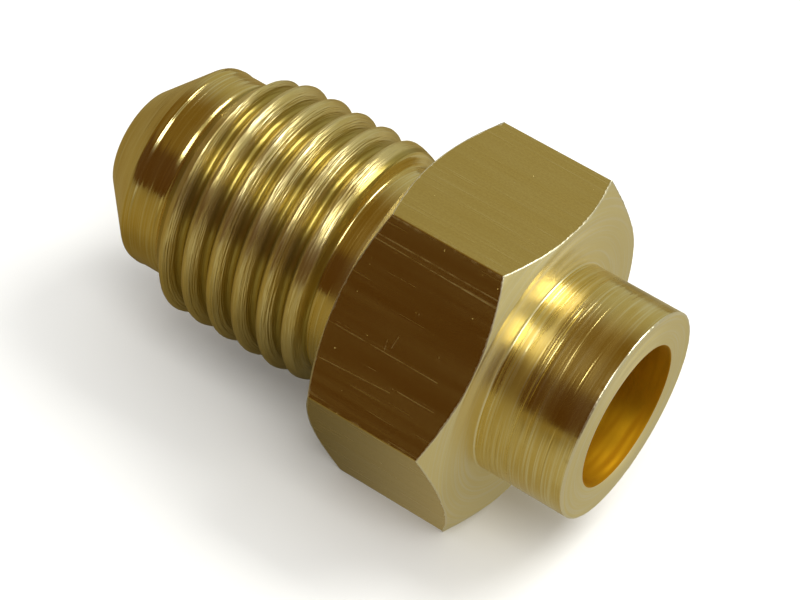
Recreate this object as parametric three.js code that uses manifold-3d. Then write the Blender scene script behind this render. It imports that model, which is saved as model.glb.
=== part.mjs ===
// Flare to solder half-union, turned from one length of hexagonal brass bar.
// Millimetres, +Z up. The axis is X: the solder end points to +X and the flare nose to -X.
// The origin is on the axis, halfway along the fitting, and one hexagon flat faces down.

import * as THREE from 'three';
import { mergeVertices } from 'three/addons/utils/BufferGeometryUtils.js';
import Module from 'manifold-3d';

// Solder stub, for a 6.35 mm (1/4 in) tube.
const STUB_OUTER_DIAMETER = 9.4;
const STUB_LENGTH = 4.2;
const STUB_ROOT_FILLET = 0.3;
const STUB_EDGE_CHAMFER = 0.1;
const SOCKET_DIAMETER = 6.4;
const SOCKET_DEPTH = 8.0;
const DRILL_POINT_ANGLE = THREE.MathUtils.degToRad(118);

// Spanner hexagon.
const HEX_ACROSS_FLATS = 14.0;
const HEX_LENGTH = 6.5;
const HEX_FACE_DIAMETER = 13.9;
const HEX_CHAMFER_ANGLE = THREE.MathUtils.degToRad(30);

// Thread: 7/16-20 UNF, right-hand, with the broad crests of a formed brass thread.
const THREAD_MAJOR_DIAMETER = 11.0;
const THREAD_PITCH = 25.4 / 20;
const THREAD_ANGLE = THREE.MathUtils.degToRad(60);
const THREAD_DEPTH = 0.68;
const THREAD_CREST_WIDTH = 0.36;
const THREAD_LENGTH = 6.2;
const LAST_CREST_SETBACK = 0.38;
const LAST_CREST_ANGLE = THREE.MathUtils.degToRad(49);
const LEAD_CHAMFER_LENGTH = 0.9;
const RUNOUT_CHAMFER_LENGTH = 0.6;

// Plain neck between the thread and the hexagon.
const NECK_DIAMETER = 9.5;
const NECK_LENGTH = 1.85;

// Plain land and 45 degree flare nose.
const LAND_DIAMETER = 9.14;
const LAND_LENGTH = 1.35;
const SHOULDER_DIAMETER = 9.2;
const SHOULDER_LENGTH = 0.5;
const NOSE_LENGTH = 2.2;
const NOSE_SHOULDER_RADIUS = 0.3;
const NOSE_TIP_RADIUS = 0.4;
const FLOW_BORE_DIAMETER = 4.0;

// Facets.
const ROUND_SEGMENTS = 60;
const CORNER_SEGMENTS = 3;
const CUT_OVERRUN = 0.5;
const GROOVE_OVERREACH = 0.25;
const WELD_DISTANCE = 1e-5;

// Places along the axis.
const TOTAL_LENGTH = STUB_LENGTH + HEX_LENGTH + NECK_LENGTH + RUNOUT_CHAMFER_LENGTH
  + THREAD_LENGTH + LEAD_CHAMFER_LENGTH + LAND_LENGTH + SHOULDER_LENGTH + NOSE_LENGTH;
const SOLDER_END = TOTAL_LENGTH / 2;
const HEX_FRONT = SOLDER_END - STUB_LENGTH;
const HEX_BACK = HEX_FRONT - HEX_LENGTH;
const NECK_END = HEX_BACK - NECK_LENGTH;
const THREAD_END = NECK_END - RUNOUT_CHAMFER_LENGTH;
const THREAD_START = THREAD_END - THREAD_LENGTH;
const LAND_START = THREAD_START - LEAD_CHAMFER_LENGTH;
const LAND_END = LAND_START - LAND_LENGTH;
const SHOULDER_END = LAND_END - SHOULDER_LENGTH;
const FLARE_END = -TOTAL_LENGTH / 2;

const brass = new THREE.MeshStandardMaterial({ color: 0xb59a4a, roughness: 0.32, metalness: 1.0 });

// Turns a closed geometry into a manifold solid.
function toSolid(manifold, geometry) {
  geometry.deleteAttribute('normal');
  geometry.deleteAttribute('uv');
  const merged = mergeVertices(geometry, WELD_DISTANCE);
  const index = merged.index.array;
  const triangles = [];
  for (let i = 0; i < index.length; i += 3) {
    const [a, b, c] = [index[i], index[i + 1], index[i + 2]];
    if (a !== b && b !== c && c !== a) {
      triangles.push(a, b, c);
    }
  }
  const mesh = new manifold.Mesh({
    numProp: 3,
    vertProperties: new Float32Array(merged.attributes.position.array),
    triVerts: new Uint32Array(triangles),
  });
  return new manifold.Manifold(mesh);
}

// Turns a manifold solid back into a three.js geometry with flat facets.
function toGeometry(solid) {
  const mesh = solid.getMesh();
  const geometry = new THREE.BufferGeometry();
  geometry.setAttribute('position', new THREE.BufferAttribute(mesh.vertProperties, 3));
  geometry.setIndex(new THREE.BufferAttribute(mesh.triVerts, 1));
  const flat = geometry.toNonIndexed();
  flat.computeVertexNormals();
  return flat;
}

// Revolves [place along the axis, radius] points about the X axis.
// The outline runs from the -X end to the +X end, and both of its ends are on the axis.
function revolve(outline) {
  const points = outline.map(([x, radius]) => new THREE.Vector2(radius, x));
  const geometry = new THREE.LatheGeometry(points, ROUND_SEGMENTS);
  return geometry.rotateZ(-Math.PI / 2);
}

// Rounds the corner of an outline with an arc that touches both of its sides.
function roundedCorner(before, corner, after, radius) {
  const middle = new THREE.Vector2(...corner);
  const back = new THREE.Vector2(...before).sub(middle).normalize();
  const forward = new THREE.Vector2(...after).sub(middle).normalize();
  const halfAngle = Math.acos(back.dot(forward)) / 2;
  const reach = radius / Math.tan(halfAngle);
  const start = middle.clone().addScaledVector(back, reach);
  const end = middle.clone().addScaledVector(forward, reach);
  const centre = middle.clone().addScaledVector(
    back.clone().add(forward).normalize(),
    radius / Math.sin(halfAngle),
  );
  const points = [];
  for (let i = 0; i <= CORNER_SEGMENTS; i += 1) {
    const point = start.clone().lerp(end, i / CORNER_SEGMENTS).sub(centre).setLength(radius).add(centre);
    points.push([point.x, point.y]);
  }
  return points;
}

// The turned blank: nose, land, thread blank, neck and solder stub.
function blankOutline() {
  const tipFace = [FLARE_END, 0];
  const shoulder = [SHOULDER_END, SHOULDER_DIAMETER / 2];
  const noseSlope = SHOULDER_DIAMETER / 2 - NOSE_LENGTH;
  const tipCorner = [FLARE_END, noseSlope];
  const hexFrontRoot = [HEX_FRONT, STUB_OUTER_DIAMETER / 2];
  return [
    tipFace,
    ...roundedCorner(tipFace, tipCorner, shoulder, NOSE_TIP_RADIUS),
    ...roundedCorner(tipCorner, shoulder, [LAND_END, LAND_DIAMETER / 2], NOSE_SHOULDER_RADIUS),
    [LAND_END, LAND_DIAMETER / 2],
    [LAND_START, LAND_DIAMETER / 2],
    [THREAD_START, THREAD_MAJOR_DIAMETER / 2],
    [THREAD_END, THREAD_MAJOR_DIAMETER / 2],
    [NECK_END, NECK_DIAMETER / 2],
    [HEX_BACK, NECK_DIAMETER / 2],
    ...roundedCorner([HEX_FRONT, HEX_FACE_DIAMETER / 2], hexFrontRoot,
      [SOLDER_END, STUB_OUTER_DIAMETER / 2], STUB_ROOT_FILLET),
    [SOLDER_END - STUB_EDGE_CHAMFER, STUB_OUTER_DIAMETER / 2],
    [SOLDER_END, STUB_OUTER_DIAMETER / 2 - STUB_EDGE_CHAMFER],
    [SOLDER_END, 0],
  ];
}

// The tube socket, its drill-point stop and the through bore, cut from the solder end.
function boreOutline() {
  const socketFloor = SOLDER_END - SOCKET_DEPTH;
  const step = (SOCKET_DIAMETER - FLOW_BORE_DIAMETER) / 2;
  const stopLength = step / Math.tan(DRILL_POINT_ANGLE / 2);
  return [
    [FLARE_END - CUT_OVERRUN, 0],
    [FLARE_END - CUT_OVERRUN, FLOW_BORE_DIAMETER / 2],
    [socketFloor - stopLength, FLOW_BORE_DIAMETER / 2],
    [socketFloor, SOCKET_DIAMETER / 2],
    [SOLDER_END + CUT_OVERRUN, SOCKET_DIAMETER / 2],
    [SOLDER_END + CUT_OVERRUN, 0],
  ];
}

// The double cone that chamfers both ends of the hexagon.
function hexEnvelopeOutline() {
  const faceRadius = HEX_FACE_DIAMETER / 2;
  const peakRadius = faceRadius + HEX_LENGTH / 2 / Math.tan(HEX_CHAMFER_ANGLE);
  return [
    [HEX_BACK, 0],
    [HEX_BACK, faceRadius],
    [(HEX_FRONT + HEX_BACK) / 2, peakRadius],
    [HEX_FRONT, faceRadius],
    [HEX_FRONT, 0],
  ];
}

// A hexagonal bar along X with flats facing up and down.
function hexBar() {
  const cornerRadius = HEX_ACROSS_FLATS / Math.sqrt(3);
  const length = HEX_LENGTH + 2 * CUT_OVERRUN;
  const bar = new THREE.CylinderGeometry(cornerRadius, cornerRadius, length, 6);
  bar.rotateZ(-Math.PI / 2);
  bar.rotateX(Math.PI / 2);
  return bar.translate((HEX_FRONT + HEX_BACK) / 2, 0, 0);
}

// The helical groove that leaves the thread crests, as one swept solid.
// It starts and ends in the open, past the lead chamfer and over the neck, and its steps fall
// on the corners of the turned blank.
function threadGroove() {
  const flankSlope = Math.tan(THREAD_ANGLE / 2);
  const rootRadius = THREAD_MAJOR_DIAMETER / 2 - THREAD_DEPTH;
  const outerRadius = THREAD_MAJOR_DIAMETER / 2 + GROOVE_OVERREACH;
  const halfAtMajor = (THREAD_PITCH - THREAD_CREST_WIDTH) / 2;
  const halfAtRoot = halfAtMajor - THREAD_DEPTH * flankSlope;
  const halfAtOuter = halfAtMajor + GROOVE_OVERREACH * flankSlope;
  const section = [
    [-halfAtRoot, rootRadius],
    [-halfAtOuter, outerRadius],
    [halfAtOuter, outerRadius],
    [halfAtRoot, rootRadius],
  ];
  const stepAngle = (2 * Math.PI) / ROUND_SEGMENTS;
  const leadPerRadian = THREAD_PITCH / (2 * Math.PI);
  const grooveAtCrestAngle = THREAD_END - LAST_CREST_SETBACK - THREAD_PITCH / 2;
  const angleAt = (place) => LAST_CREST_ANGLE + (place - grooveAtCrestAngle) / leadPerRadian;
  const firstStep = Math.floor(angleAt(LAND_START - CUT_OVERRUN) / stepAngle);
  const lastStep = Math.ceil(angleAt(NECK_END + CUT_OVERRUN) / stepAngle);
  const steps = lastStep - firstStep;
  const positions = [];
  for (let i = firstStep; i <= lastStep; i += 1) {
    const angle = i * stepAngle;
    const place = grooveAtCrestAngle + (angle - LAST_CREST_ANGLE) * leadPerRadian;
    for (const [offset, radius] of section) {
      positions.push(place + offset, radius * Math.cos(angle), radius * Math.sin(angle));
    }
  }
  const corners = section.length;
  const index = [];
  for (let i = 0; i < steps; i += 1) {
    for (let j = 0; j < corners; j += 1) {
      const here = i * corners + j;
      const beside = i * corners + ((j + 1) % corners);
      index.push(here, beside + corners, beside, here, here + corners, beside + corners);
    }
  }
  const last = steps * corners;
  index.push(0, 1, 2, 0, 2, 3);
  index.push(last, last + 2, last + 1, last, last + 3, last + 2);
  const geometry = new THREE.BufferGeometry();
  geometry.setAttribute('position', new THREE.Float32BufferAttribute(positions, 3));
  geometry.setIndex(index);
  return geometry;
}

const wasm = await Module();
wasm.setup();

const blank = toSolid(wasm, revolve(blankOutline()));
const hexagon = toSolid(wasm, hexBar()).intersect(toSolid(wasm, revolve(hexEnvelopeOutline())));
const groove = toSolid(wasm, threadGroove());
const bore = toSolid(wasm, revolve(boreOutline()));
const body = blank.add(hexagon).subtract(groove).subtract(bore);

const fitting = new THREE.Group();
const fittingBody = new THREE.Mesh(toGeometry(body), brass);
fittingBody.name = 'fitting_body';
fitting.add(fittingBody);

export default fitting;
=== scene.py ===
# Flare to solder half-union in brass: the fine surface, materials, light and camera.
# Lengths are in millimetres and turn into metres where vertices are made.

import math
import random

import bpy
from mathutils import Matrix, Vector


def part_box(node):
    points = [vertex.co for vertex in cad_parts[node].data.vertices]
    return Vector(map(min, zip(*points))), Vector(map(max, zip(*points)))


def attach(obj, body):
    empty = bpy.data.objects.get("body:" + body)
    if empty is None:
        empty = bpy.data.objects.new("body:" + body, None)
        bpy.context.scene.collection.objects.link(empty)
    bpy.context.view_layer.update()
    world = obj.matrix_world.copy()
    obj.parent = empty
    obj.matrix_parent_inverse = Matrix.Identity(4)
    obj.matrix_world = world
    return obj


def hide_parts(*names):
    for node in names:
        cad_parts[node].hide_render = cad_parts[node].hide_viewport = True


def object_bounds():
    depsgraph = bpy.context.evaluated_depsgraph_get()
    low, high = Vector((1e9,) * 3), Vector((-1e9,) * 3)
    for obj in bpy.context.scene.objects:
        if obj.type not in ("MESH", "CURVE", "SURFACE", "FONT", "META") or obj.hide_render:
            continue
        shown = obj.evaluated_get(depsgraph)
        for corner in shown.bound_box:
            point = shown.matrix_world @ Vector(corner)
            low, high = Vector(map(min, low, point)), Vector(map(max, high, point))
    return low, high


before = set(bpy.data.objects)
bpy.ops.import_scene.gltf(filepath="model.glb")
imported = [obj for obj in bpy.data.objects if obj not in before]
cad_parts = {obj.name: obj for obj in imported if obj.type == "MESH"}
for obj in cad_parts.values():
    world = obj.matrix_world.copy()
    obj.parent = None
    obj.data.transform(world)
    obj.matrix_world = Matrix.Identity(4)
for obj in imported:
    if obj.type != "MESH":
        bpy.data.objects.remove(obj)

CAD_BOX = [list(corner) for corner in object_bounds()]
MM = 0.001

# Driving sizes that come from the frame.
low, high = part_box("fitting_body")
FLARE_END = low[0] / MM
SOLDER_END = high[0] / MM
ACROSS_FLATS = (high[2] - low[2]) / MM

# Solder stub, socket and flow bore.
STUB_RADIUS = 4.7
STUB_LENGTH = 4.2
STUB_ROOT_FILLET = 0.07
STUB_EDGE_RADIUS = 0.1
STUB_RIDGE = 0.001
STUB_BURR = 0.045
SOCKET_RADIUS = 3.2
SOCKET_EDGE_RADIUS = 0.05
SOCKET_DEPTH = 8.0
SOCKET_FLOOR_FILLET = 0.08
DRILL_HALF_ANGLE = math.radians(59)
FLOW_RADIUS = 2.0
FLOW_INNER_ROUNDING = 0.05
FLOW_MOUTH_ROUNDING = 0.02
STOP_LENGTH = (SOCKET_RADIUS - FLOW_RADIUS) / math.tan(DRILL_HALF_ANGLE)

# Hexagon, and the burrs on the curved edges where its chamfers meet the flats.
HEX_LENGTH = 6.5
HEX_FACE_RADIUS = 6.95
HEX_CHAMFER_SLOPE = math.tan(math.radians(30))
HEX_CORNER_RADIUS = 0.06
CHAMFER_START = 0.04
CHAMFER_MIDDLE = 0.45
BURR_WIDTH = 0.06
BURR_INSET = 0.0175
BACK_BURR_LIFT = 0.03
BACK_BURR_SPREAD = 0.08
FRONT_BURR_LIFT = 0.05
FRONT_BURR_SPREAD = 0.1
BURR_FLOOR = 0.12
BURR_THRESHOLD = 0.40
BURR_SHARPNESS = 1.3

# Thread.
MAJOR_RADIUS = 5.5
PITCH = 1.27
CREST_WIDTH = 0.28
CREST_ROUNDING = 0.25
ROOT_RADIUS = 0.19
FLANK_SLOPE = math.tan(math.radians(60))
FLANK_COSINE = math.cos(math.radians(30))
THREAD_DEPTH = (PITCH - CREST_WIDTH) / 2 * FLANK_SLOPE - ROOT_RADIUS
THREAD_LENGTH = 6.2
LEAD_CHAMFER = 0.9
RUNOUT_CHAMFER = 0.6
LAST_CREST_SETBACK = 0.38
LAST_CREST_ANGLE = math.radians(49)
THREAD_EDGE_ROUNDING = 0.07

# The last ridge: the thread's last groove fades out, its top tapers, and a wall drops to the neck.
GROOVE_FADE_SETBACK = 0.3
GROOVE_FADE_LENGTH = 0.35
RIDGE_TAPER_SETBACK = 0.3
RIDGE_TAPER_SLOPE = math.tan(math.radians(17))
RIDGE_WALL_SLOPE = math.tan(math.radians(73))
RIDGE_WALL_SETBACK = 0.05
RIDGE_WALL_ROUNDING = 0.2
CHAMFER_ROUNDING = 0.12
TURNING_ALLOWANCE = 0.02

# Fine turning marks at both ends of the land: an undercut by the thread and a step by the nose,
# as distances from the land's end and heights.
UNDERCUT_SETBACK = 0.13
UNDERCUT_HALF_WIDTH = 0.17
UNDERCUT_DEPTH = 0.06
LAND_STEP = ((-0.22, 0.042), (-0.14, 0.036), (-0.08, 0.012), (-0.02, -0.006), (0.05, 0.0))

# Neck, land and nose.
NECK_RADIUS = 4.75
NECK_LENGTH = 1.85
NECK_ROOT_ROUNDING = 0.1
NECK_FILLET = 0.06
LAND_RADIUS = 4.57
LAND_LENGTH = 1.35
LAND_ROOT_ROUNDING = 0.06
SHOULDER_RADIUS = 4.6
SHOULDER_LENGTH = 0.5
NOSE_LENGTH = 2.2
NOSE_SHOULDER_ROUNDING = 0.3
NOSE_TIP_ROUNDING = 0.4

# Places along the axis.
HEX_FRONT = SOLDER_END - STUB_LENGTH
HEX_BACK = HEX_FRONT - HEX_LENGTH
NECK_END = HEX_BACK - NECK_LENGTH
THREAD_END = NECK_END - RUNOUT_CHAMFER
THREAD_START = THREAD_END - THREAD_LENGTH
LAND_START = THREAD_START - LEAD_CHAMFER
LAND_END = LAND_START - LAND_LENGTH
SHOULDER_END = LAND_END - SHOULDER_LENGTH

# Mesh density. The hexagon and the stub have twice as many columns as the rest.
COLUMNS = 276
HEX_COLUMNS = 2 * COLUMNS
HEX_CORNER_STEPS = 3
SEED = 7

# Rows that keep flat faces flat lie this far from an edge.
FACE_SUPPORT = 0.03
FLAT_SUPPORT = 0.14
ROOT_SUPPORT = 0.4

# Zones of the surface, in the order of the material slots.
TURNED, THREAD, FLATS, FACES, BORE, BURR = range(6)

# The hexagon's two ends.
BACK = -1
FRONT = 1


# ---------------------------------------------------------------- outlines

def clamp(value, lowest, highest):
    return max(lowest, min(highest, value))


def rounded_corner(before, corner, after, radius, steps):
    """Points of the arc that rounds a corner of an outline, from its first side to its second."""
    middle = Vector(corner)
    back = (Vector(before) - middle).normalized()
    forward = (Vector(after) - middle).normalized()
    half = math.acos(clamp(back.dot(forward), -1.0, 1.0)) / 2
    start = middle + back * (radius / math.tan(half))
    end = middle + forward * (radius / math.tan(half))
    centre = middle + (back + forward).normalized() * (radius / math.sin(half))
    points = []
    for i in range(steps + 1):
        ray = start.lerp(end, i / steps) - centre
        points.append(tuple(centre + ray.normalized() * radius))
    return points


def straight(start, end, steps):
    """Evenly spaced points strictly between two points of an outline."""
    return [tuple(Vector(start).lerp(Vector(end), i / steps)) for i in range(1, steps)]


def smooth_min(a, b, width):
    """The smaller of two radii, with the corner between them rounded."""
    blend = max(width - abs(a - b), 0.0) / width
    return min(a, b) - blend * blend * width / 4


# ---------------------------------------------------------------- thread form

def thread_radius(phase):
    """Radius of the thread, for a place from 0 to 1 across one pitch with the root at both ends."""
    from_root = (0.5 - abs(phase - 0.5)) * PITCH
    arc_end = ROOT_RADIUS * FLANK_COSINE
    if from_root < arc_end:
        rise = ROOT_RADIUS - math.sqrt(ROOT_RADIUS ** 2 - from_root ** 2)
    else:
        rise = ROOT_RADIUS / 2 + (from_root - arc_end) * FLANK_SLOPE
    return MAJOR_RADIUS + smooth_min(rise - THREAD_DEPTH, 0.0, CREST_ROUNDING)


def lead_radius(x):
    """Radius of the turned blank on the land and the lead chamfer, with the undercut between."""
    lead = LAND_RADIUS + (x - LAND_START) / LEAD_CHAMFER * (MAJOR_RADIUS - LAND_RADIUS)
    rise = smooth_min(lead, MAJOR_RADIUS + TURNING_ALLOWANCE, CHAMFER_ROUNDING)
    across = clamp((x - LAND_START + UNDERCUT_SETBACK) / UNDERCUT_HALF_WIDTH, -1.0, 1.0)
    undercut = UNDERCUT_DEPTH * math.cos(math.pi / 2 * across) ** 2
    return -smooth_min(-rise, -LAND_RADIUS, LAND_ROOT_ROUNDING) - undercut


def runout_radius(x):
    """Radius of the turned blank on the last ridge and the neck."""
    taper = MAJOR_RADIUS - (x - THREAD_END + RIDGE_TAPER_SETBACK) * RIDGE_TAPER_SLOPE
    wall = NECK_RADIUS + (NECK_END - RIDGE_WALL_SETBACK - x) * RIDGE_WALL_SLOPE
    fall = smooth_min(taper, MAJOR_RADIUS + TURNING_ALLOWANCE, CHAMFER_ROUNDING)
    fall = smooth_min(fall, wall, RIDGE_WALL_ROUNDING)
    return -smooth_min(-fall, -NECK_RADIUS, NECK_ROOT_ROUNDING)


def crest_place(angle):
    """Place along the axis of the last crest at an angle round the axis."""
    return THREAD_END - LAST_CREST_SETBACK + PITCH * (angle - LAST_CREST_ANGLE) / math.tau


def surface_radius(x, angle):
    """Radius of the threaded stretch at a place and an angle. The last groove fades out."""
    crests_passed = (x - crest_place(angle)) / PITCH
    phase = (crests_passed + 0.5) % 1.0
    groove_centre = crest_place(angle) + PITCH * (math.floor(crests_passed) + 0.5)
    faded = clamp((groove_centre - THREAD_END + GROOVE_FADE_SETBACK) / GROOVE_FADE_LENGTH, 0.0, 1.0)
    depth = (MAJOR_RADIUS - thread_radius(phase)) * (1 - faded * faded * (3 - 2 * faded))
    halfway = (THREAD_START + THREAD_END) / 2
    blank = lead_radius(x) if x < halfway else runout_radius(x)
    return smooth_min(MAJOR_RADIUS - depth, blank, THREAD_EDGE_ROUNDING)


# ---------------------------------------------------------------- mesh building

class Skin:
    """A closed skin made of rings round the X axis, joined one to the next."""

    def __init__(self):
        self.points = []
        self.faces = []
        self.zones = []

    def point(self, x, radius, angle):
        self.points.append((x * MM, radius * math.cos(angle) * MM, radius * math.sin(angle) * MM))
        return len(self.points) - 1

    def ring(self, x, radius, angles):
        """A plain ring."""
        return [self.point(x, radius, angle) for angle in angles]

    def row(self, outline, angles):
        """A ring whose place and radius differ from column to column."""
        return [self.point(x, radius, angle) for (x, radius), angle in zip(outline, angles)]

    def face(self, corners, zone):
        self.faces.append(corners)
        self.zones.append(zone)

    def join(self, first, second, zone):
        """Joins two rings with as many points each."""
        count = len(first)
        for j in range(count):
            k = (j + 1) % count
            self.face((first[j], first[k], second[k], second[j]), zone)

    def widen(self, few, many, zone):
        """Joins a ring to one with twice as many points."""
        count = len(few)
        for j in range(count):
            k = (j + 1) % count
            middle = many[2 * j + 1]
            self.face((few[j], middle, many[2 * j]), zone)
            self.face((few[j], few[k], middle), zone)
            self.face((few[k], many[2 * k], middle), zone)

    def narrow(self, many, few, zone):
        """Joins a ring to one with half as many points."""
        count = len(few)
        for j in range(count):
            k = (j + 1) % count
            middle = many[2 * j + 1]
            self.face((many[2 * j], middle, few[j]), zone)
            self.face((middle, few[k], few[j]), zone)
            self.face((middle, many[2 * k], few[k]), zone)

    def stitch(self, left, right, zone):
        """Joins two columns of points, square by square while both last and then by triangles."""
        i = 0
        j = 0
        while i < len(left) - 1 or j < len(right) - 1:
            if i < len(left) - 1 and j < len(right) - 1:
                self.face((left[i], right[j], right[j + 1], left[i + 1]), zone)
                i += 1
                j += 1
            elif j < len(right) - 1:
                self.face((left[i], right[j], right[j + 1]), zone)
                j += 1
            else:
                self.face((left[i], right[j], left[i + 1]), zone)
                i += 1

    def follow(self, last, outline, angles, zone):
        """Adds the plain rings of an outline after a ring, and returns the newest ring."""
        for x, radius in outline:
            ring = self.ring(x, radius, angles)
            self.join(last, ring, zone)
            last = ring
        return last


def even_angles(count):
    return [math.tau * j / count for j in range(count)]


# ---------------------------------------------------------------- threaded stretch

# Places across one pitch from the root to the crest, closest together where the form bends.
HALF_PITCH_PLACES = (0.0, 0.045, 0.09, 0.14, 0.21, 0.29, 0.36, 0.41, 0.45, 0.49, 0.54)

# The column where the rows of the thread begin, and how near they may come to the hexagon.
FIRST_COLUMN = 3 * COLUMNS // 4
NECK_CLEARANCE = 0.3


def pitch_fractions():
    """Fractions across one pitch where the thread has a row of points, without the far root."""
    rising = [place / PITCH for place in HALF_PITCH_PLACES]
    falling = [1.0 - place for place in reversed(rising[1:])]
    return rising + [0.5] + falling


def thread_rows_start():
    """The place in the first column where the rows of the thread begin, on a root over the land."""
    root = crest_place(math.tau * (FIRST_COLUMN / COLUMNS - 1)) - PITCH / 2
    while root - PITCH > LAND_END:
        root -= PITCH
    return root


def from_angle_zero(ring):
    """Turns a ring that begins in the first column into one that begins at angle zero."""
    return ring[-FIRST_COLUMN:] + ring[:-FIRST_COLUMN]


class ThreadRows:
    """Rows of points that follow the thread's helix.

    A column is numbered k, from 0 in the first column and on from turn to turn. At each end of
    the helix a wedge of rows, growing from none to a whole pitch round one turn, fills the space
    between the helix and a plain ring.
    """

    def __init__(self, skin):
        self.skin = skin
        self.start = thread_rows_start()
        turns = 1
        while self.start + PITCH * (turns + 2) < HEX_BACK - NECK_CLEARANCE:
            turns += 1
        self.steps = turns * COLUMNS
        self.end = self.start + PITCH * (turns + 1)
        self.fractions = pitch_fractions()
        self.first_ring = self.plain_ring(self.start)
        self.columns = self.helix_columns()
        self.end_ring = self.plain_ring(self.end)
        self.columns += self.helix_edge()

    def place(self, k, fraction=0.0):
        return self.start + PITCH * (k / COLUMNS + fraction)

    def point(self, x, k):
        angle = math.tau * (FIRST_COLUMN + k) / COLUMNS
        return self.skin.point(x, surface_radius(x, angle), angle % math.tau)

    def plain_ring(self, x):
        return [self.point(x, k) for k in range(COLUMNS)]

    def helix_columns(self):
        """Every column of the helix, one pitch long. The first begins on the plain ring."""
        columns = []
        for k in range(self.steps + 1):
            fractions = self.fractions if k > 0 else self.fractions[1:]
            columns.append([self.point(self.place(k, fraction), k) for fraction in fractions])
        columns[0].insert(0, self.first_ring[0])
        return columns

    def helix_edge(self):
        """Single points of one more turn: the far edge of the helix, ending on the plain ring."""
        edge = [[self.point(self.place(k), k)] for k in range(self.steps + 1, self.steps + COLUMNS)]
        return edge + [[self.end_ring[0]]]

    def whole_pitch(self, k):
        """A column from one root to the next."""
        return self.columns[k] + [self.columns[k + COLUMNS][0]]

    def wedge_column(self, bottom, top, k, places, share):
        """A column of points from bottom to top, with its share of the rows of a whole pitch."""
        count = max(1, round(len(self.fractions) * share))
        low_place, high_place = places
        column = [bottom]
        for i in range(1, count):
            column.append(self.point(low_place + (high_place - low_place) * i / count, k))
        return column + [top]

    def add_helix(self):
        for k in range(self.steps):
            left = self.whole_pitch(k)
            right = self.whole_pitch(k + 1)
            self.skin.stitch(left, right, THREAD)

    def add_wedge_on_land(self):
        """From the first plain ring up to the helix."""
        column = [self.first_ring[0]]
        for k in range(1, COLUMNS):
            top = self.columns[k][0]
            places = (self.start, self.place(k))
            following = self.wedge_column(self.first_ring[k], top, k, places, k / COLUMNS)
            self.skin.stitch(column, following, TURNED)
            column = following
        self.skin.stitch(column, self.whole_pitch(0), TURNED)

    def add_wedge_on_neck(self):
        """From the far edge of the helix up to the last plain ring."""
        column = self.columns[self.steps] + [self.end_ring[0]]
        for turned in range(1, COLUMNS):
            k = self.steps + turned
            bottom = self.columns[k][0]
            places = (self.place(k), self.end)
            following = self.wedge_column(bottom, self.end_ring[turned], k, places, 1 - turned / COLUMNS)
            self.skin.stitch(column, following, TURNED)
            column = following
        self.skin.stitch(column, [self.end_ring[0]], TURNED)


def add_threads(skin, last):
    """Adds the thread after a ring on the land, and returns a plain ring on the neck and its place."""
    rows = ThreadRows(skin)
    skin.join(last, from_angle_zero(rows.first_ring), TURNED)
    rows.add_helix()
    rows.add_wedge_on_land()
    rows.add_wedge_on_neck()
    return from_angle_zero(rows.end_ring), rows.end


# ---------------------------------------------------------------- hexagon

def hex_columns():
    """The angle and the distance from the axis of each column round the hexagon.

    Columns are even along each flat, with a few more round each corner.
    """
    flat_half = ACROSS_FLATS / 2 / math.sqrt(3) - HEX_CORNER_RADIUS * math.tan(math.radians(30))
    per_flat = HEX_COLUMNS // 6
    angles = []
    reaches = []
    for flat in range(6):
        normal = math.radians(30 + 60 * flat)
        for i in range(per_flat):
            from_corner = min(i, per_flat - i)
            if from_corner < HEX_CORNER_STEPS:
                side = -1 if i < per_flat / 2 else 1
                turn = math.radians(30) * (1 - from_corner / HEX_CORNER_STEPS)
                along = side * (flat_half + HEX_CORNER_RADIUS * math.sin(turn))
                away = ACROSS_FLATS / 2 - HEX_CORNER_RADIUS * (1 - math.cos(turn))
            else:
                share = (i - HEX_CORNER_STEPS) / (per_flat - 2 * HEX_CORNER_STEPS)
                along = flat_half * (2 * share - 1)
                away = ACROSS_FLATS / 2
            angles.append(normal + math.atan2(along, away))
            reaches.append(math.hypot(along, away))
    return angles, reaches


def ragged(count, scale, rng):
    """A repeating row of random heights up to 1, mostly low with short high stretches."""
    heights = [0.0] * count
    for step, weight in ((1, 0.35), (3, 0.35), (8, 0.3)):
        knots = [rng.random() for _ in range(max(2, count // (step * scale)))]
        for i in range(count):
            place = i / count * len(knots)
            left = int(place)
            share = place - left
            value = knots[left % len(knots)] * (1 - share) + knots[(left + 1) % len(knots)] * share
            heights[i] += weight * value
    burrs = []
    for height in heights:
        above = max(0.0, (height - BURR_THRESHOLD) / (1 - BURR_THRESHOLD))
        burrs.append(BURR_FLOOR + (1 - BURR_FLOOR) * above ** BURR_SHARPNESS)
    return burrs


def chamfer_place(end, radius):
    """Where the chamfer cone at the hexagon's back or front has a radius."""
    face = HEX_BACK if end == BACK else HEX_FRONT
    return face - end * (radius - HEX_FACE_RADIUS) * HEX_CHAMFER_SLOPE


def cone_row(reaches, end, share):
    """A row on a chamfer, a share of the way from the face to the flats."""
    radii = [HEX_FACE_RADIUS + (reach - HEX_FACE_RADIUS) * share for reach in reaches]
    return [(chamfer_place(end, radius), radius) for radius in radii]


def burr_foot_row(reaches, end):
    """A row on a chamfer just short of the flats, where the burr starts."""
    radii = []
    for reach in reaches:
        rise = reach - HEX_FACE_RADIUS
        radii.append(HEX_FACE_RADIUS + max(rise / 2, rise - BURR_WIDTH))
    return [(chamfer_place(end, radius), radius) for radius in radii]


def edge_row(reaches, end, lifts):
    """The row where a chamfer meets the flats, lifted by the burr."""
    return [(chamfer_place(end, reach), reach + lift) for reach, lift in zip(reaches, lifts)]


def flat_row(reaches, end, insets):
    """A row on the flats, in from the chamfer's edge."""
    return [(chamfer_place(end, reach) - end * inset, reach) for reach, inset in zip(reaches, insets)]


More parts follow.
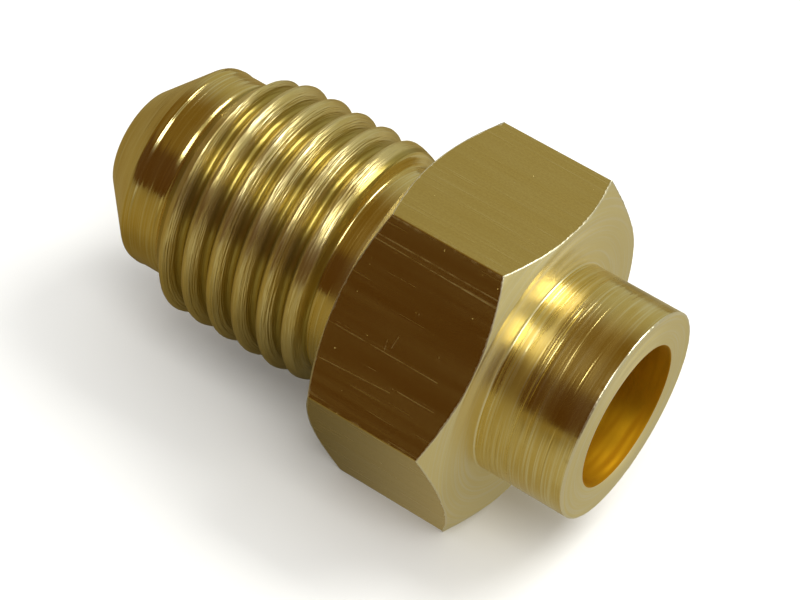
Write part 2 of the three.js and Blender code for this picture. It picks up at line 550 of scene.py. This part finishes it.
def row_between(first, second, share):
    """A row on the flats, a share of the way from one row to another."""
    return [(a + (b - a) * share, reach) for (a, reach), (b, _) in zip(first, second)]


def flats_rows(reaches, rng):
    """The rows from the back face over the flats to the front face, each with its zone."""
    back_burr = ragged(HEX_COLUMNS, 1, rng)
    front_burr = ragged(HEX_COLUMNS, 1, rng)
    back_lifts = [BACK_BURR_LIFT * height for height in back_burr]
    front_lifts = [FRONT_BURR_LIFT * height for height in front_burr]
    back_insets = [BURR_INSET + BACK_BURR_SPREAD * height for height in back_burr]
    front_insets = [BURR_INSET + FRONT_BURR_SPREAD * height for height in front_burr]
    back_support = flat_row(reaches, BACK, [FLAT_SUPPORT] * HEX_COLUMNS)
    front_support = flat_row(reaches, FRONT, [FLAT_SUPPORT] * HEX_COLUMNS)
    return [
        (cone_row(reaches, BACK, CHAMFER_START), FACES),
        (cone_row(reaches, BACK, CHAMFER_MIDDLE), FACES),
        (burr_foot_row(reaches, BACK), FACES),
        (edge_row(reaches, BACK, back_lifts), BURR),
        (flat_row(reaches, BACK, back_insets), BURR),
        (back_support, FLATS),
        (row_between(back_support, front_support, 0.25), FLATS),
        (row_between(back_support, front_support, 0.5), FLATS),
        (row_between(back_support, front_support, 0.75), FLATS),
        (front_support, FLATS),
        (flat_row(reaches, FRONT, front_insets), FLATS),
        (edge_row(reaches, FRONT, front_lifts), BURR),
        (burr_foot_row(reaches, FRONT), BURR),
        (cone_row(reaches, FRONT, CHAMFER_MIDDLE), FACES),
        (cone_row(reaches, FRONT, CHAMFER_START), FACES),
    ]


def add_hexagon(skin, neck_ring, neck_place, rng):
    """Adds the neck's last stretch, the hexagon and most of its front face."""
    neck_start = (neck_place, NECK_RADIUS)
    root = (HEX_BACK, NECK_RADIUS)
    neck = straight(neck_start, root, 4)
    neck += rounded_corner(neck_start, root, (HEX_BACK, HEX_FACE_RADIUS), NECK_FILLET, 3)
    last = skin.follow(neck_ring, neck, even_angles(COLUMNS), TURNED)

    angles, reaches = hex_columns()
    face = skin.ring(HEX_BACK, NECK_RADIUS + ROOT_SUPPORT, angles)
    skin.widen(last, face, FACES)
    face_edge = (HEX_BACK, HEX_FACE_RADIUS - FACE_SUPPORT)
    back_face = straight((HEX_BACK, NECK_RADIUS + ROOT_SUPPORT), face_edge, 2) + [face_edge]
    last = skin.follow(face, back_face, angles, FACES)
    for outline, zone in flats_rows(reaches, rng):
        row = skin.row(outline, angles)
        skin.join(last, row, zone)
        last = row
    face_edge = (HEX_FRONT, HEX_FACE_RADIUS - FACE_SUPPORT)
    front_face = [face_edge] + straight(face_edge, (HEX_FRONT, STUB_RADIUS + ROOT_SUPPORT), 3)
    return skin.follow(last, front_face, angles, FACES)


# ---------------------------------------------------------------- ends

def add_stub(skin, last, rng):
    """Adds the stub's root fillet, its barrel with light tool ridges, its rim and its end face."""
    angles = even_angles(HEX_COLUMNS)
    root = (HEX_FRONT, STUB_RADIUS)
    rim = (SOLDER_END, STUB_RADIUS)
    fillet = rounded_corner((HEX_FRONT, HEX_FACE_RADIUS), root, rim, STUB_ROOT_FILLET, 6)
    last = skin.follow(last, [(HEX_FRONT, STUB_RADIUS + ROOT_SUPPORT)] + fillet, angles, FACES)

    barrel_start = (HEX_FRONT + STUB_ROOT_FILLET, STUB_RADIUS)
    barrel_end = (SOLDER_END - STUB_EDGE_RADIUS, STUB_RADIUS)
    barrel = []
    for x, radius in straight(barrel_start, barrel_end, 15):
        barrel.append((x, radius + rng.uniform(-STUB_RIDGE, STUB_RIDGE)))
    last = skin.follow(last, barrel, angles, TURNED)

    burr = ragged(HEX_COLUMNS, 2, rng)
    before, lower, upper, after = rounded_corner(root, rim, (SOLDER_END, 0), STUB_EDGE_RADIUS, 3)
    last = skin.follow(last, [before], angles, TURNED)
    for x, radius in (lower, upper):
        row = skin.row([(x, radius + STUB_BURR * height) for height in burr], angles)
        skin.join(last, row, BURR)
        last = row
    last = skin.follow(last, [after], angles, BURR)

    face_inner = (SOLDER_END, SOCKET_RADIUS + SOCKET_EDGE_RADIUS)
    face = straight((SOLDER_END, STUB_RADIUS - STUB_EDGE_RADIUS), face_inner, 5)
    last = skin.follow(last, face, angles, FACES)
    inner = skin.ring(*face_inner, even_angles(COLUMNS))
    skin.narrow(last, inner, FACES)
    return inner


def add_bore(skin, last):
    """Adds the socket, its stop and the flow bore, back to the flare end."""
    mouth = (SOLDER_END, SOCKET_RADIUS)
    floor = (SOLDER_END - SOCKET_DEPTH, SOCKET_RADIUS)
    stop = (floor[0] - STOP_LENGTH, FLOW_RADIUS)
    flow_end = (FLARE_END, FLOW_RADIUS)
    outline = rounded_corner((SOLDER_END, STUB_RADIUS), mouth, floor, SOCKET_EDGE_RADIUS, 3)[1:]
    outline += straight(mouth, floor, 9)
    outline += rounded_corner(mouth, floor, stop, SOCKET_FLOOR_FILLET, 3)
    outline += rounded_corner(floor, stop, flow_end, FLOW_INNER_ROUNDING, 3)
    outline += straight(stop, flow_end, 10)
    return skin.follow(last, outline, even_angles(COLUMNS), BORE)


def add_nose(skin, last):
    """Adds the flare end's face, cone, shoulder and land, from the bore outwards."""
    mouth = (FLARE_END, FLOW_RADIUS)
    tip_corner = (FLARE_END, SHOULDER_RADIUS - NOSE_LENGTH)
    shoulder = (SHOULDER_END, SHOULDER_RADIUS)
    land = (LAND_END, LAND_RADIUS)
    outline = rounded_corner((SOLDER_END, FLOW_RADIUS), mouth, tip_corner, FLOW_MOUTH_ROUNDING, 2)
    outline += rounded_corner(mouth, tip_corner, shoulder, NOSE_TIP_ROUNDING, 8)
    turn = rounded_corner(tip_corner, shoulder, land, NOSE_SHOULDER_ROUNDING, 6)
    outline += straight(outline[-1], turn[0], 8) + turn
    outline += [(LAND_END + along, LAND_RADIUS + rise) for along, rise in LAND_STEP]
    outline += straight(outline[-1], (thread_rows_start(), LAND_RADIUS), 4)
    return skin.follow(last, outline, even_angles(COLUMNS), TURNED)


def build_fitting():
    """The whole fitting as one closed mesh. It starts and ends on a seam inside the flow bore."""
    rng = random.Random(SEED)
    skin = Skin()
    seam = skin.ring(FLARE_END + ROOT_SUPPORT, FLOW_RADIUS, even_angles(COLUMNS))
    last = add_nose(skin, seam)
    last, place = add_threads(skin, last)
    last = add_hexagon(skin, last, place, rng)
    last = add_stub(skin, last, rng)
    last = add_bore(skin, last)
    skin.join(last, seam, BORE)
    mesh = bpy.data.meshes.new("fitting_surface")
    mesh.from_pydata(skin.points, [], skin.faces)
    mesh.validate()
    for polygon, zone in zip(mesh.polygons, skin.zones):
        polygon.material_index = zone
        polygon.use_smooth = True
    mesh.update()
    fitting = bpy.data.objects.new("fitting_surface", mesh)
    bpy.context.collection.objects.link(fitting)
    return fitting


# ---------------------------------------------------------------- materials

BRASS = (0.80, 0.66, 0.26, 1.0)
BRASS_DEEP = (0.72, 0.55, 0.16, 1.0)
BRASS_PALE = (0.88, 0.79, 0.45, 1.0)
BRASS_SILVERY = (0.90, 0.84, 0.62, 1.0)
# Painted shade and painted reflection: a darker, deep orange brass for the inside of the bore.
BRASS_PAINTED_BORE_SHADE = (0.63, 0.35, 0.012, 1.0)
# Painted shade for the thread's grooves: a darker brass between the crests.
BRASS_PAINTED_GROOVE_SHADE = (0.48, 0.38, 0.10, 1.0)
BRASS_DUSTY = (0.60, 0.44, 0.13, 1.0)

# Brushing is the strength of the stretched highlights that tool marks give.
TURNED_BRUSHING = 0.55
THREAD_BRUSHING = 0.5
DRAWN_BRUSHING = 0.45

# The barrel's marks are at full strength on the stub's first stretch. Elsewhere they have these shares.
COARSE_LENGTH = 3.0
COARSE_ONSET = 0.02
FAINT_FINE = 0.3
FAINT_MARKS = 0.45
FAINT_BRUSHING = 0.3

# The band over the thread's crests that is left out of the painted groove shade, in pitches: its
# centre beyond the crest towards the hexagon, half its width, and where it has faded out.
UNSHADED_BAND_CENTRE = 0.06
UNSHADED_BAND_HALF_WIDTH = 0.20
UNSHADED_BAND_EDGE = 0.32

# The flat beside the top one, as seen from the solder end, has long scratches and short nicks:
# start, end (along the bar and across the flat) and width.
FRONT_FLAT_NORMAL = (0.0, -math.sqrt(3) / 2, 0.5)
SCRATCHES = (
    ((1.6, 3.1), (7.7, 3.1), 0.030),
    ((1.6, 2.9), (7.7, 2.8), 0.020),
    ((1.8, -0.9), (6.8, -0.9), 0.020),
    ((1.7, -2.4), (5.2, -2.2), 0.020),
    ((4.9, -2.0), (7.2, -2.0), 0.020),
    ((4.1, -0.3), (4.2, -0.9), 0.025),
    ((4.5, 0.0), (4.4, -0.7), 0.025),
    ((4.8, 1.2), (4.9, 1.0), 0.035),
    ((6.3, 0.1), (6.4, -0.1), 0.035),
)
SCRATCH_FADE = 0.15

# Wear on the long edges of the hexagon: how far in it reaches, and how near the edge it is full.
WEAR_REACH = 0.22
WEAR_FULL = 0.02


class Nodes:
    """Short ways to add shader nodes to a tree. A value is a socket, a number or a colour."""

    def __init__(self, tree):
        self.tree = tree

    def add(self, kind, **settings):
        node = self.tree.nodes.new(kind)
        for name, value in settings.items():
            setattr(node, name, value)
        return node

    def link(self, source, target):
        if isinstance(source, (int, float, tuple)):
            target.default_value = source
        else:
            self.tree.links.new(source, target)

    def math(self, operation, first, second=0.0):
        node = self.add("ShaderNodeMath", operation=operation)
        self.link(first, node.inputs[0])
        self.link(second, node.inputs[1])
        return node.outputs[0]

    def plus(self, *values):
        total = values[0]
        for value in values[1:]:
            total = self.math("ADD", total, value)
        return total

    def minus(self, first, second):
        return self.math("SUBTRACT", first, second)

    def times(self, *values):
        product = values[0]
        for value in values[1:]:
            product = self.math("MULTIPLY", product, value)
        return product

    def larger(self, *values):
        largest = values[0]
        for value in values[1:]:
            largest = self.math("MAXIMUM", largest, value)
        return largest

    def ramp(self, value, low_in, high_in, low_out=0.0, high_out=1.0):
        """Runs smoothly from one number to another as the value goes from low_in to high_in."""
        node = self.add("ShaderNodeMapRange", interpolation_type="SMOOTHSTEP")
        self.link(value, node.inputs["Value"])
        self.link(low_in, node.inputs["From Min"])
        self.link(high_in, node.inputs["From Max"])
        self.link(low_out, node.inputs["To Min"])
        self.link(high_out, node.inputs["To Max"])
        return node.outputs["Result"]

    def blend(self, share, first, second):
        """Runs smoothly from the first number to the second as the share goes from 0 to 1."""
        return self.ramp(share, 0.0, 1.0, first, second)

    def mix(self, factor, first, second):
        """Mixes two colours."""
        node = self.add("ShaderNodeMix", data_type="RGBA")
        self.link(factor, node.inputs["Factor"])
        self.link(first, node.inputs[6])
        self.link(second, node.inputs[7])
        return node.outputs[2]

    def noise(self, vector, w, detail):
        node = self.add("ShaderNodeTexNoise", noise_dimensions="4D")
        self.link(vector, node.inputs["Vector"])
        self.link(w, node.inputs["W"])
        node.inputs["Scale"].default_value = 1.0
        node.inputs["Detail"].default_value = detail
        return node.outputs["Fac"]

    def combine(self, x, y, z):
        node = self.add("ShaderNodeCombineXYZ")
        for value, target in zip((x, y, z), node.inputs):
            self.link(value, target)
        return node.outputs[0]

    def split(self, vector):
        node = self.add("ShaderNodeSeparateXYZ")
        self.link(vector, node.inputs[0])
        return node.outputs

    def place(self):
        """The point on the object in millimetres: x, y and z."""
        position = self.add("ShaderNodeTexCoord").outputs["Object"]
        return [self.math("DIVIDE", part, MM) for part in self.split(position)]

    def is_reflection(self):
        """One for what reflections see, and zero for everything else."""
        return self.add("ShaderNodeLightPath").outputs["Is Glossy Ray"]


def start_material(name, metallic=1.0):
    material = bpy.data.materials.new(name)
    material.use_nodes = True
    shader = material.node_tree.nodes["Principled BSDF"]
    shader.inputs["Metallic"].default_value = metallic
    return material, Nodes(material.node_tree), shader


def finish_metal(nodes, shader, colour, roughness, height, depth, brushing, across_tangent):
    """Connects a metal's colour, roughness, bump and the direction of its tool marks."""
    nodes.link(colour, shader.inputs["Base Color"])
    nodes.link(roughness, shader.inputs["Roughness"])
    bump = nodes.add("ShaderNodeBump")
    bump.inputs["Strength"].default_value = 1.0
    bump.inputs["Distance"].default_value = depth * MM
    nodes.link(height, bump.inputs["Height"])
    nodes.link(bump.outputs[0], shader.inputs["Normal"])
    tangent = nodes.add("ShaderNodeTangent", direction_type="RADIAL", axis="X")
    nodes.link(tangent.outputs[0], shader.inputs["Tangent"])
    nodes.link(brushing, shader.inputs["Anisotropic"])
    shader.inputs["Anisotropic Rotation"].default_value = 0.25 if across_tangent else 0.0


def along_helix(nodes):
    """Place along the axis, slid back along the thread's helix to the near side (the -Y side).

    The seam where the angle jumps is on the far side.
    """
    x, y, z = nodes.place()
    turn = nodes.math("ARCTAN2", nodes.times(z, -1.0), nodes.times(y, -1.0))
    return nodes.minus(x, nodes.times(turn, PITCH / math.tau))


def ring_grain(nodes, x):
    """Gives a function that makes noise drawn out round the axis, as turning leaves it.

    The x is the place along the axis or along the helix. The function takes how often the noise
    changes in a millimetre across the tool marks, how much it changes round the axis, and its
    detail.
    """
    _, y, z = nodes.place()
    radius = nodes.math("SQRT", nodes.plus(nodes.times(y, y), nodes.times(z, z)))

    def grain(across, around, detail):
        cosine = nodes.times(nodes.math("DIVIDE", y, radius), around)
        sine = nodes.times(nodes.math("DIVIDE", z, radius), around)
        vector = nodes.combine(nodes.times(x, across), nodes.times(radius, across), cosine)
        return nodes.noise(vector, sine, detail)

    return grain


def uneven_roughness(nodes, grain, rough):
    """Roughness that wanders about its usual value."""
    return nodes.ramp(grain(2.2, 0.8, 1.0), 0.3, 0.7, rough * 0.75, rough * 1.3)


def barrel_material(name):
    """Turned barrels: rings and deeper marks, coarse near the stub's root and faint elsewhere."""
    material, nodes, shader = start_material(name)
    x = nodes.place()[0]
    grain = ring_grain(nodes, x)
    begun = nodes.ramp(x, HEX_FRONT - COARSE_ONSET, HEX_FRONT)
    coarse = nodes.times(begun, nodes.ramp(x, HEX_FRONT, HEX_FRONT + COARSE_LENGTH, 1.0, 0.0))
    fine_share = nodes.blend(coarse, FAINT_FINE, 1.0)
    fine = grain(12.0, 1.0, 1.0)
    cloud = grain(0.5, 1.8, 3.0)
    marks = nodes.ramp(grain(6.0, 0.9, 0.0), 0.58, 0.74)
    colour = nodes.mix(nodes.ramp(cloud, 0.35, 0.65), BRASS_DEEP, BRASS)
    colour = nodes.mix(nodes.ramp(fine, 0.45, 0.7, 0.0, 0.8), colour, BRASS_PALE)
    roughness = nodes.times(uneven_roughness(nodes, grain, 0.36), nodes.math("SQRT", fine_share))
    mark_height = nodes.times(marks, -0.8, nodes.blend(coarse, FAINT_MARKS, 1.0))
    height = nodes.plus(nodes.times(fine, fine_share), mark_height)
    brushing = nodes.blend(coarse, FAINT_BRUSHING, 0.85)
    finish_metal(nodes, shader, colour, roughness, height, 0.024, brushing, True)
    return material


def turned_material(name, colour, glint, rough, depth, marks):
    """Plain turned brass: fine rings with glints, and a few deeper marks."""
    material, nodes, shader = start_material(name)
    grain = ring_grain(nodes, nodes.place()[0])
    fine = grain(12.0, 1.0, 1.0)
    deep_marks = nodes.ramp(grain(6.0, 0.9, 0.0), 0.58, 0.74)
    shade = nodes.mix(nodes.ramp(fine, 0.45, 0.7, 0.0, 0.8), colour, glint)
    roughness = uneven_roughness(nodes, grain, rough)
    height = nodes.plus(fine, nodes.times(deep_marks, -marks))
    finish_metal(nodes, shader, shade, roughness, height, depth, TURNED_BRUSHING, True)
    return material


def thread_material(name):
    """Formed thread: streaked crests, and smoother grooves between them, darkened with painted shade."""
    material, nodes, shader = start_material(name)
    x = along_helix(nodes)
    grain = ring_grain(nodes, x)
    pitches = nodes.times(nodes.minus(x, crest_place(math.pi)), 1 / PITCH)
    into_pitch = nodes.math("FRACT", nodes.plus(pitches, 0.5 - UNSHADED_BAND_CENTRE))
    away = nodes.math("ABSOLUTE", nodes.minus(into_pitch, 0.5))
    edge_wear_and_unshaded_crest = nodes.ramp(away, UNSHADED_BAND_HALF_WIDTH, UNSHADED_BAND_EDGE, 1.0, 0.0)
    fine = nodes.plus(nodes.times(grain(12.0, 1.0, 1.0), 0.6), nodes.times(grain(18.0, 6.0, 1.0), 0.4))
    cloud = grain(0.5, 1.8, 3.0)
    colour = nodes.mix(nodes.ramp(cloud, 0.35, 0.65, 0.0, 0.5), BRASS, BRASS_PALE)
    colour = nodes.mix(nodes.ramp(fine, 0.45, 0.7, 0.0, 0.8), colour, BRASS_PALE)
    # Painted shade: the grooves get a darker brass colour, and the band over the crests keeps its own.
    colour = nodes.mix(edge_wear_and_unshaded_crest, BRASS_PAINTED_GROOVE_SHADE, colour)
    roughness = nodes.blend(edge_wear_and_unshaded_crest, 0.32, 0.31)
    height = nodes.times(fine, nodes.blend(edge_wear_and_unshaded_crest, 0.4, 1.0))
    finish_metal(nodes, shader, colour, roughness, height, 0.09, THREAD_BRUSHING, True)
    return material


def scratch(nodes, x, across, start, end, width):
    """One inside a straight scratch from start to end, fading to zero outside it."""
    run = Vector(end) - Vector(start)
    along_x, along_y = run.normalized()
    from_x = nodes.minus(x, start[0])
    from_y = nodes.minus(across, start[1])
    along = nodes.plus(nodes.times(from_x, along_x), nodes.times(from_y, along_y))
    aside = nodes.minus(nodes.times(from_x, along_y), nodes.times(from_y, along_x))
    inside = nodes.ramp(nodes.math("ABSOLUTE", aside), width / 2, width, 1.0, 0.0)
    begun = nodes.ramp(along, 0.0, SCRATCH_FADE)
    not_ended = nodes.ramp(along, run.length - SCRATCH_FADE, run.length, 1.0, 0.0)
    return nodes.times(inside, begun, not_ended)


def front_flat_scratches(nodes, x, across, normal, gaps):
    """The scratches and nicks of the front flat, broken up by gaps and absent from other flats."""
    facing = nodes.add("ShaderNodeVectorMath", operation="DOT_PRODUCT")
    nodes.link(normal, facing.inputs[0])
    nodes.link(FRONT_FLAT_NORMAL, facing.inputs[1])
    on_front_flat = nodes.ramp(facing.outputs["Value"], 0.9, 0.95)
    scratches = [scratch(nodes, x, across, *ends_and_width) for ends_and_width in SCRATCHES]
    return nodes.times(nodes.larger(*scratches), on_front_flat, gaps)


def drawn_material(name):
    """Drawn bar: straight draw lines along the axis, scratches, and wear where flats meet."""
    material, nodes, shader = start_material(name)
    x, y, z = nodes.place()
    normal = nodes.add("ShaderNodeNewGeometry").outputs["True Normal"]
    _, normal_y, normal_z = nodes.split(normal)
    across = nodes.minus(nodes.times(y, normal_z), nodes.times(z, normal_y))
    # A different number on each flat, so that no two flats have the same noise.
    flat = nodes.plus(nodes.times(normal_y, 7.3), nodes.times(normal_z, 19.1))

    def grain(along, cross, detail):
        vector = nodes.combine(nodes.times(x, along), nodes.times(across, cross), flat)
        return nodes.noise(vector, 0.0, detail)

    fine = grain(0.22, 9.0, 4.0)
    bands = grain(0.10, 2.6, 3.0)
    broad = grain(0.25, 1.6, 3.0)
    dust = grain(9.0, 16.0, 2.0)
    lines = nodes.ramp(fine, 0.58, 0.72)
    specks = nodes.ramp(grain(5.0, 7.0, 2.0), 0.72, 0.78)
    gaps = nodes.ramp(grain(2.0, 5.0, 2.0), 0.35, 0.6, 0.35, 1.0)
    scratches = front_flat_scratches(nodes, x, across, normal, gaps)
    half_width = ACROSS_FLATS / 2 / math.sqrt(3)
    from_middle = nodes.math("ABSOLUTE", across)
    edge = nodes.ramp(from_middle, half_width - WEAR_REACH, half_width - WEAR_FULL)
    edge_wear_and_unshaded_crest = nodes.times(edge, nodes.ramp(grain(2.6, 3.0, 3.0), 0.45, 0.65))
    bright = nodes.larger(nodes.times(scratches, 0.4), nodes.times(specks, 0.35), nodes.times(edge_wear_and_unshaded_crest, 0.3))

    colour = nodes.mix(nodes.ramp(broad, 0.2, 0.8, 0.1, 0.5), BRASS_DEEP, BRASS)
    colour = nodes.mix(nodes.ramp(dust, 0.35, 0.65, 0.0, 0.4), colour, BRASS_DUSTY)
    colour = nodes.mix(nodes.times(lines, 0.3), colour, BRASS_PALE)
    colour = nodes.mix(bright, colour, BRASS_SILVERY)
    banded = nodes.ramp(bands, 0.35, 0.65, 0.18, 0.24)
    roughness = nodes.plus(banded, nodes.times(lines, 0.10), nodes.times(bright, 0.35))
    raised = nodes.plus(fine, bands, nodes.times(dust, 0.5))
    height = nodes.minus(nodes.minus(raised, bright), specks)
    finish_metal(nodes, shader, colour, roughness, height, 0.006, DRAWN_BRUSHING, False)
    return material


def add_fitting():
    """The fitting with a material for each zone, in the order of the zones."""
    fitting = build_fitting()
    materials = [
        barrel_material("turned_barrel"),
        thread_material("formed_thread"),
        drawn_material("drawn_flat"),
        turned_material("faced_end", BRASS_PALE, BRASS_SILVERY, rough=0.42, depth=0.002, marks=0.0),
        # The bore wall's deep orange is painted shade and painted reflection.
        turned_material("bored_wall", BRASS_PAINTED_BORE_SHADE, BRASS_PAINTED_BORE_SHADE, rough=0.8, depth=0.001, marks=0.0),
        turned_material("burred_edge", BRASS_SILVERY, BRASS_SILVERY, rough=0.38, depth=0.01, marks=1.0),
    ]
    for material in materials:
        fitting.data.materials.append(material)
    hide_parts("fitting_body")
    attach(fitting, "root")


# ---------------------------------------------------------------- stage, light and camera

box_low, box_high = CAD_BOX
CENTRE = Vector([(a + b) / 2 for a, b in zip(box_low, box_high)])
SIZE = box_high[0] - box_low[0]

# The floor is pale. Reflections see a dimmer and warmer one, darkened with painted shade, that glows
# with painted light a little past the stub.
FLOOR_SEEN = (0.87, 0.87, 0.86, 1.0)
FLOOR_SHADE_BY_FLARE = (0.23, 0.175, 0.065, 1.0)
FLOOR_SHADE_BY_SOCKET = (0.12, 0.11, 0.08, 1.0)
FLOOR_PAINTED_LIGHT = (0.28, 0.25, 0.17, 1.0)
PAINTED_LIGHT_START = -SOLDER_END / 8
PAINTED_LIGHT_FULL = SOLDER_END * 3 / 4
FLOOR_HALF_WIDTH = 100 * SIZE

# The room as the brass sees it: a pale wall behind, a brown ceiling and a dark front.
BACK_WALL = (0.47, 0.455, 0.35, 1.0)
CEILING = (0.19, 0.115, 0.022, 1.0)
FRONT_WALL = (0.085, 0.034, 0.003, 1.0)
SIDE_WALL = (0.42, 0.40, 0.29, 1.0)
BACKDROP = (0.85, 0.85, 0.84, 1.0)

# Soft panels that hang level overhead: centre and size in fitting lengths, and radiant power.
PANELS = {
    "panel_back": ((4.2, 5.6, 10.4), (6.0, 6.0), 0.5),
    "panel_front": ((4.2, -5.8, 10.4), (6.0, 6.0), 0.36),
}
PANEL_COLOUR = (1.0, 0.99, 0.95)

CAMERA_AZIMUTH = math.radians(26.57)
CAMERA_ELEVATION = math.radians(40.69)
CAMERA_ROLL = math.radians(11.84)
CAMERA_DISTANCE = 0.125
CAMERA_LENS = 136.8
CAMERA_TARGET = CENTRE + Vector((1.31, -0.30, -0.39)) * MM
CAMERA_CLIP_START = 0.005
CAMERA_CLIP_END = 20


def floor_material():
    """Pale matt floor. In the brass it looks dimmer and warmer, most of all on the flare side: painted
    shade. Towards the solder end it glows with painted light.
    """
    material, nodes, shader = start_material("pale_floor", metallic=0.0)
    x = nodes.place()[0]
    reflected = nodes.is_reflection()
    # Painted shade: reflections see the floor in dim, warm colours that change from the flare end to the
    # solder end.
    floor_shade = nodes.mix(nodes.ramp(x, FLARE_END, SOLDER_END), FLOOR_SHADE_BY_FLARE, FLOOR_SHADE_BY_SOCKET)
    nodes.link(nodes.mix(reflected, FLOOR_SEEN, floor_shade), shader.inputs["Base Color"])
    nodes.link(FLOOR_PAINTED_LIGHT, shader.inputs["Emission Color"])
    # Painted light: reflections see the floor glow, more towards the solder end.
    painted_light = nodes.times(reflected, nodes.ramp(x, PAINTED_LIGHT_START, PAINTED_LIGHT_FULL))
    nodes.link(painted_light, shader.inputs["Emission Strength"])
    shader.inputs["Roughness"].default_value = 0.7
    shader.inputs["Specular IOR Level"].default_value = 0.1
    return material


def add_floor():
    half = FLOOR_HALF_WIDTH
    corners = [(-half, -half, 0), (half, -half, 0), (half, half, 0), (-half, half, 0)]
    mesh = bpy.data.meshes.new("floor")
    mesh.from_pydata(corners, [], [(0, 1, 2, 3)])
    mesh.materials.append(floor_material())
    floor = bpy.data.objects.new("floor", mesh)
    floor.location = (0, 0, box_low[2])
    bpy.context.collection.objects.link(floor)


def add_panels():
    for name, (place, size, power) in PANELS.items():
        data = bpy.data.lights.new(name, "AREA")
        data.shape = "RECTANGLE"
        data.size = size[0] * SIZE
        data.size_y = size[1] * SIZE
        data.energy = power
        data.color = PANEL_COLOUR
        panel = bpy.data.objects.new(name, data)
        panel.location = CENTRE + Vector(place) * SIZE
        bpy.context.collection.objects.link(panel)


def add_world():
    """The room. Only reflections see its walls, and everything else sees a plain pale backdrop.

    The x, y and z are parts of the direction looked in, from -1 to 1.
    """
    world = bpy.data.worlds.new("studio")
    bpy.context.scene.world = world
    world.use_nodes = True
    nodes = Nodes(world.node_tree)
    background = world.node_tree.nodes["Background"]
    x, y, z = nodes.split(nodes.add("ShaderNodeTexCoord").outputs["Generated"])
    room = nodes.mix(nodes.ramp(y, 0.2, 0.95), CEILING, BACK_WALL)
    room = nodes.mix(nodes.ramp(x, -0.05, 0.3), room, SIDE_WALL)
    to_the_front = nodes.ramp(y, -0.5, -0.15, 1.0, 0.0)
    low_front = nodes.times(to_the_front, nodes.ramp(z, 0.58, 0.74, 1.0, 0.0))
    room = nodes.mix(low_front, room, FRONT_WALL)
    nodes.link(nodes.mix(nodes.is_reflection(), BACKDROP, room), background.inputs["Color"])


def add_camera():
    """The camera, tilted a little about its line of sight."""
    level = math.cos(CAMERA_ELEVATION)
    back = Vector((math.sin(CAMERA_AZIMUTH) * level, -math.cos(CAMERA_AZIMUTH) * level,
                   math.sin(CAMERA_ELEVATION)))
    level_right = Vector((0, 0, 1)).cross(back).normalized()
    level_up = back.cross(level_right)
    right = level_right * math.cos(CAMERA_ROLL) + level_up * math.sin(CAMERA_ROLL)
    matrix = Matrix((right, back.cross(right), back)).transposed().to_4x4()
    matrix.translation = CAMERA_TARGET + back * CAMERA_DISTANCE
    data = bpy.data.cameras.new("camera")
    data.lens = CAMERA_LENS
    data.clip_start = CAMERA_CLIP_START
    data.clip_end = CAMERA_CLIP_END
    camera = bpy.data.objects.new("camera", data)
    camera.matrix_world = matrix
    bpy.context.collection.objects.link(camera)
    bpy.context.scene.camera = camera


add_fitting()
add_floor()
add_panels()
add_world()
add_camera()
bpy.context.scene.view_settings.view_transform = "Standard"
